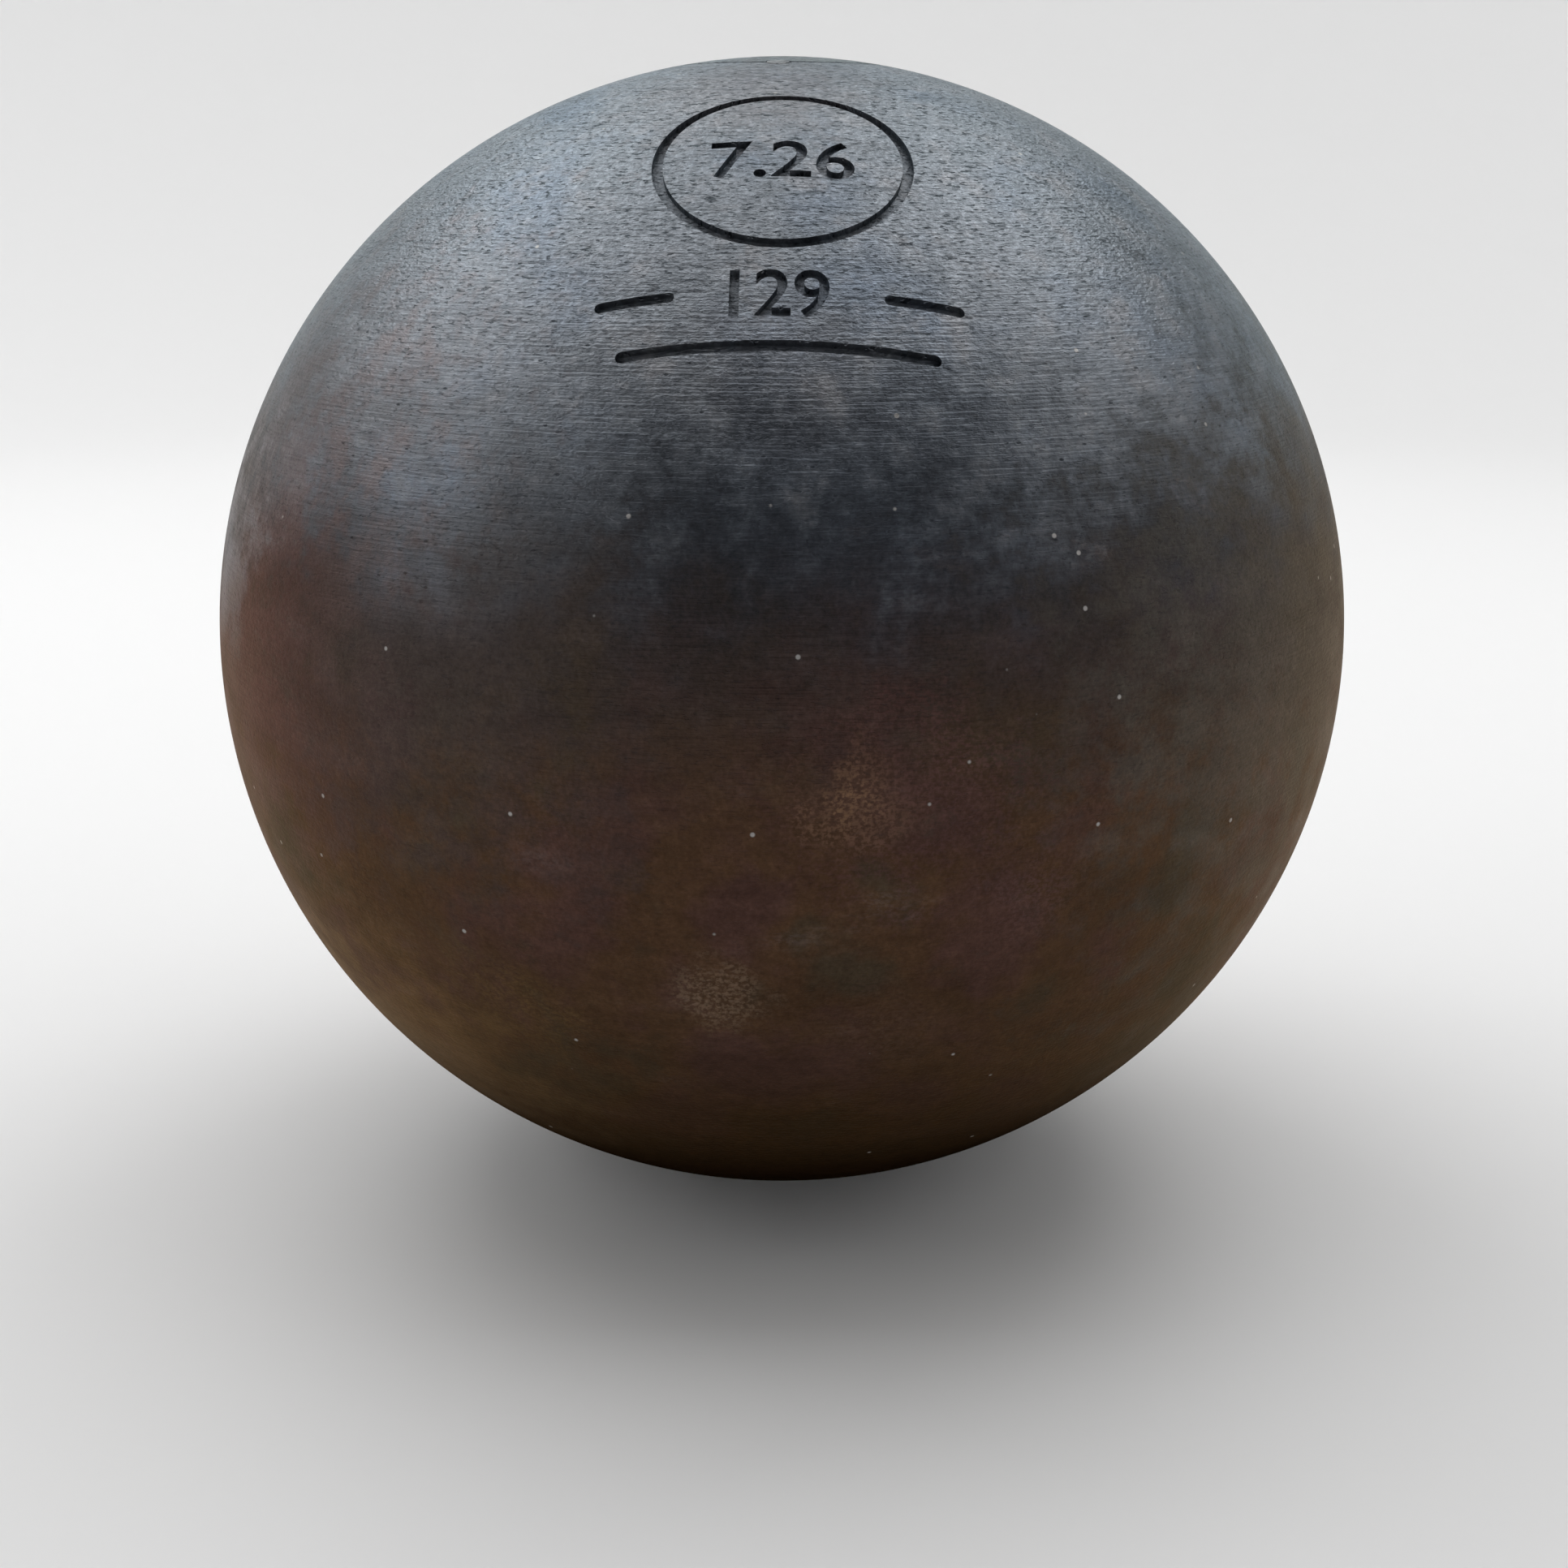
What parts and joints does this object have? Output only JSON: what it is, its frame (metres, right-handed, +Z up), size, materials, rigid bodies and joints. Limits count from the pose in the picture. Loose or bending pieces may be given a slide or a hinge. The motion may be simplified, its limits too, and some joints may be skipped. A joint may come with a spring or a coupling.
{
  "type": "shot put ball",
  "caption": "Turned iron throwing ball with a filled core, closed by a flush screwed plug at its upper pole and resting on a small flat at its lower one.",
  "frame": {"origin": "centre of the small flat at the ball's lower pole, on which it rests", "axes": "+Z up through the plug along the turning axis, +Y away from the side with the engraved marks, +X to that side's right"},
  "size_m": [0.129, 0.129, 0.1287],
  "materials": {
    "blackened_iron": "satin",
    "plug_steel": "satin",
    "pin_steel": "satin",
    "disc_steel": "satin",
    "core_resin": "matte",
    "black_rubber": "matte"
  },
  "bodies": {
    "root": {"shell": "blackened_iron", "filler_plug": "plug_steel", "lock_pin": "pin_steel", "core_filling": "core_resin", "trim_disc_1": "disc_steel", "trim_disc_2": "disc_steel", "trim_disc_3": "disc_steel", "packing_disc": "black_rubber", "seal_washer": "black_rubber"}
  },
  "joints": []
}
